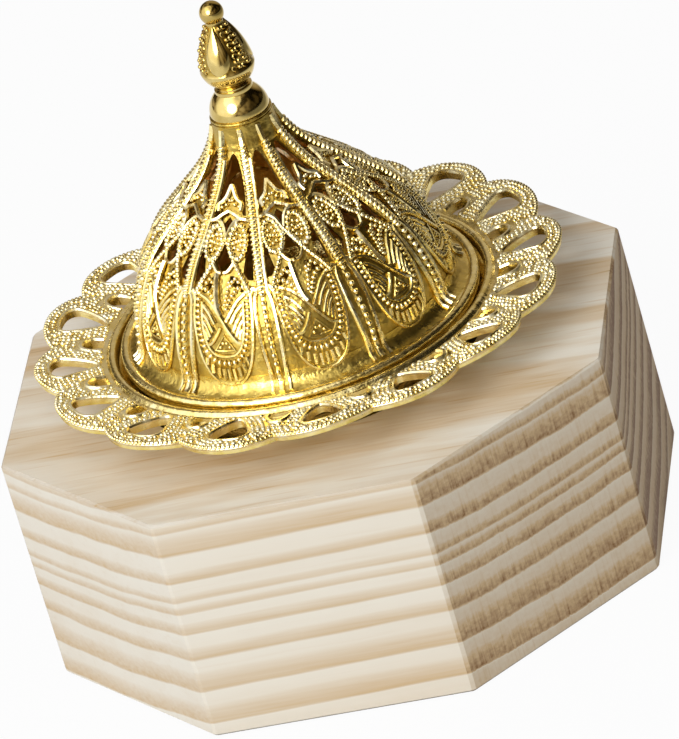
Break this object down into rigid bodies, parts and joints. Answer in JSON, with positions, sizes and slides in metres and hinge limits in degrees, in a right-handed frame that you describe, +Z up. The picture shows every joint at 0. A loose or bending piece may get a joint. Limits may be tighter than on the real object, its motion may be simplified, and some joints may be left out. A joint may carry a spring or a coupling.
{
  "type": "tabletop incense burner",
  "caption": "Tabletop incense burner: a gilt cast dish with an openwork petal rim and a pierced, finial-topped domed lid, set in an octagonal block of pine.",
  "frame": {"origin": "centre of the block's underside, on the surface that it stands on", "axes": "+Z up along the dish, lid and finial's common axis; -Y out of one of the block's long faces; +X to the right seen from there"},
  "size_m": [0.1, 0.1, 0.1045],
  "materials": {
    "pine": "sanded, unvarnished",
    "gilt_casting": "polished gilt",
    "steel": "zinc-plated"
  },
  "bodies": {
    "base": {"wooden_base": "pine"},
    "dish": {"dish": "gilt_casting"},
    "lid": {"lid": "gilt_casting", "finial": "gilt_casting", "finial_screw": "steel"}
  },
  "joints": [
    {"name": "dish_lift", "type": "slide", "parent": "base", "child": "dish", "axis": [0, 0, 1], "range_m": [0, 0.03]},
    {"name": "lid_lift", "type": "slide", "parent": "dish", "child": "lid", "axis": [0, 0, 1], "range_m": [0, 0.05]}
  ]
}
